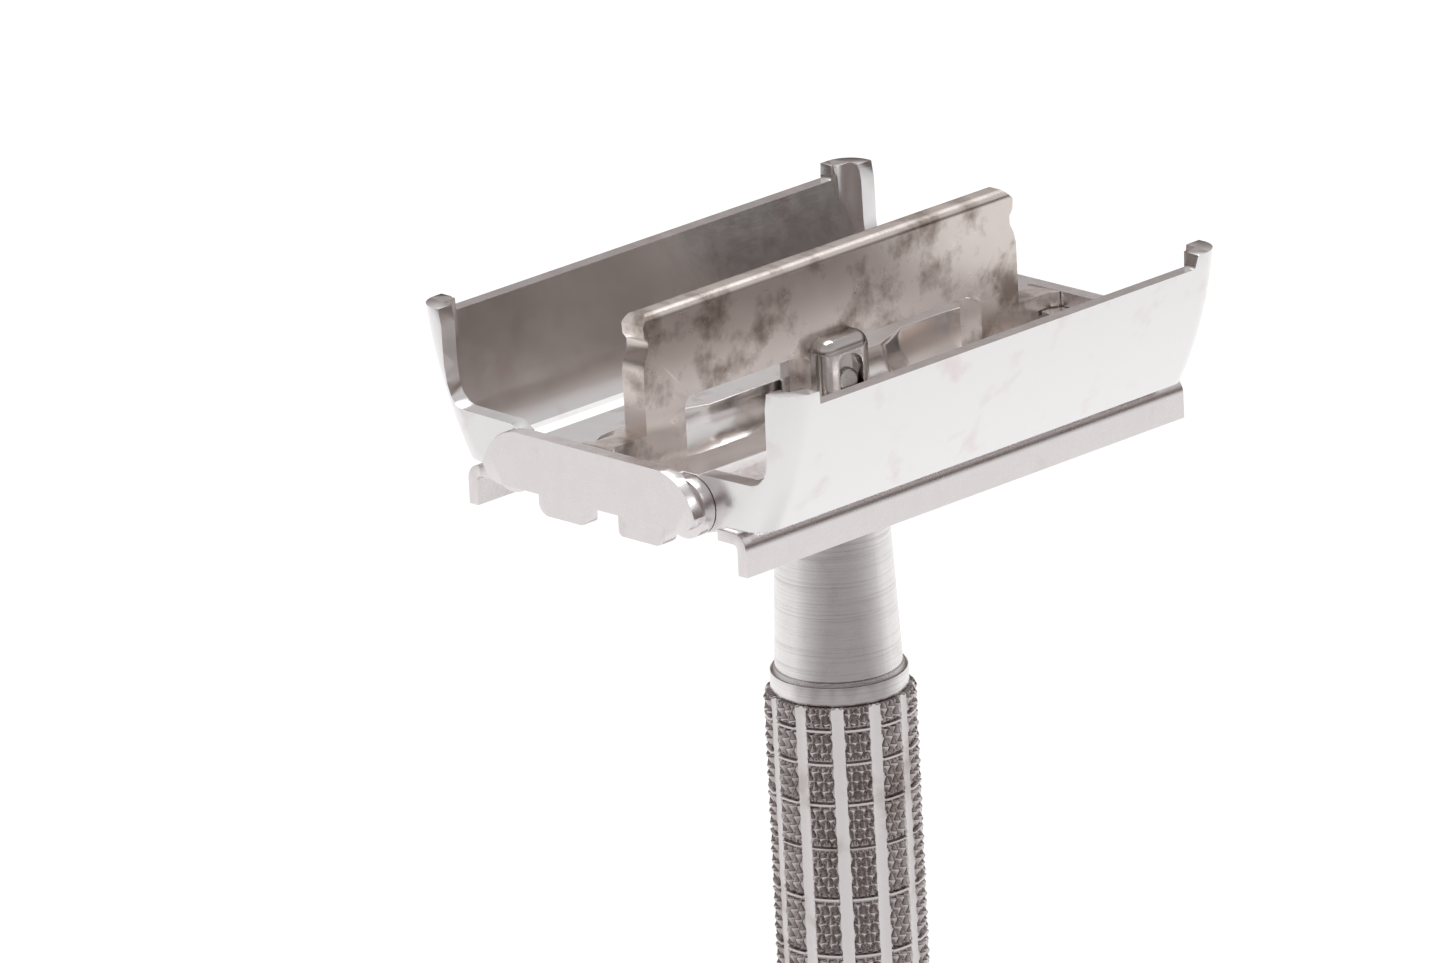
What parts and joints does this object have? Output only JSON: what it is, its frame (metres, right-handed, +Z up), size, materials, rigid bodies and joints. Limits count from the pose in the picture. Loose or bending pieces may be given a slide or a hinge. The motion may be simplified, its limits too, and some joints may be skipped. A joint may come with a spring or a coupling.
{
  "type": "safety razor",
  "caption": "Twist-to-open safety razor with open butterfly doors, a windowed centre bar, a lipped guard and a knurled handle.",
  "frame": {"origin": "centre of the knob's bottom face", "axes": "+Z up the handle to the head, +Y along the head, +X across the head to the right door"},
  "size_m": [0.0368, 0.0468, 0.0869],
  "materials": {
    "nickel_bright": "polished nickel plate",
    "nickel_satin": "satin nickel plate",
    "nickel_turned": "fine turned nickel plate",
    "nickel_knurled": "knurled nickel plate",
    "brass_bush": "turned brass",
    "steel_pin": "bright steel"
  },
  "bodies": {
    "handle": {"handle_barrel": "nickel_knurled", "neck_sleeve": "nickel_turned", "collar_ring": "nickel_turned", "guard_plate": "nickel_satin", "blade_tray": "nickel_satin", "guide_bush": "brass_bush", "barrel_bush": "brass_bush", "friction_washer": "brass_bush"},
    "knob": {"knob_shell": "nickel_knurled", "threaded_spindle": "brass_bush", "spindle_collar": "steel_pin", "knob_end_disc": "nickel_turned"},
    "bar_lift": {"centre_bar": "nickel_bright", "stem_fork": "nickel_bright", "stem_rivet": "steel_pin", "stem_rod": "steel_pin", "threaded_sleeve": "brass_bush"},
    "cap_carriage": {"end_cap_front": "nickel_satin", "end_cap_rear": "nickel_satin", "hinge_pins": "steel_pin"},
    "left_door": {"door_left": "nickel_bright"},
    "right_door": {"door_right": "nickel_bright"}
  },
  "joints": [
    {"name": "knob_turn", "type": "hinge", "parent": "handle", "child": "knob", "pos_m": [0, 0, 0], "axis": [0, 0, 1], "range_deg": [0, 720]},
    {"name": "bar_slide", "type": "slide", "parent": "handle", "child": "bar_lift", "axis": [0, 0, -1], "range_m": [0, 0.00691]},
    {"name": "cap_slide", "type": "slide", "parent": "handle", "child": "cap_carriage", "axis": [0, 0, -1], "range_m": [0, 0.00401]},
    {"name": "left_door_hinge", "type": "hinge", "parent": "cap_carriage", "child": "left_door", "pos_m": [-0.0096, 0, 0.07565], "axis": [0, 1, 0], "range_deg": [0, 90.1]},
    {"name": "right_door_hinge", "type": "hinge", "parent": "cap_carriage", "child": "right_door", "pos_m": [0.0096, 0, 0.07565], "axis": [0, -1, 0], "range_deg": [0, 90.1]}
  ],
  "couplings": [
    {"joint": "bar_slide", "follows": "knob_turn", "m_per_rad": 0.00054909},
    {"joint": "cap_slide", "follows": "knob_turn", "m_per_rad": 0.00031831},
    {"joint": "left_door_hinge", "follows": "knob_turn", "ratio": 0.125},
    {"joint": "right_door_hinge", "follows": "knob_turn", "ratio": 0.125}
  ]
}
